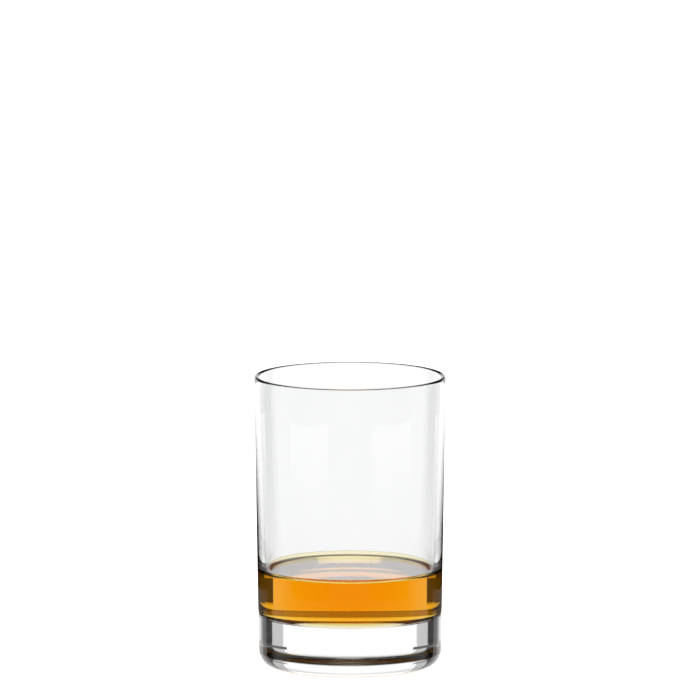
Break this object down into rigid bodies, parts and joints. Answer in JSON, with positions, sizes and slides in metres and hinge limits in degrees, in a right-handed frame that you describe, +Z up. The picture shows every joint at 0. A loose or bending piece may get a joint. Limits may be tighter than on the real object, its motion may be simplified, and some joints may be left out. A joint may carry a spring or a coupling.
{
  "type": "whiskey tumbler",
  "caption": "Plain round glass tumbler with a thick solid base and a slightly flared, thinning wall, holding a shallow measure of amber whisky.",
  "frame": {"origin": "centre of the ring that the glass stands on, at table height", "axes": "+Z up along the glass's axis, towards the mouth; the glass is round, so +X and +Y are free"},
  "size_m": [0.07, 0.07, 0.1078],
  "materials": {
    "clear_glass": "clear, fire-polished",
    "whisky": "clear amber liquid"
  },
  "bodies": {
    "root": {"tumbler_glass": "clear_glass", "whisky": "whisky"}
  },
  "joints": []
}
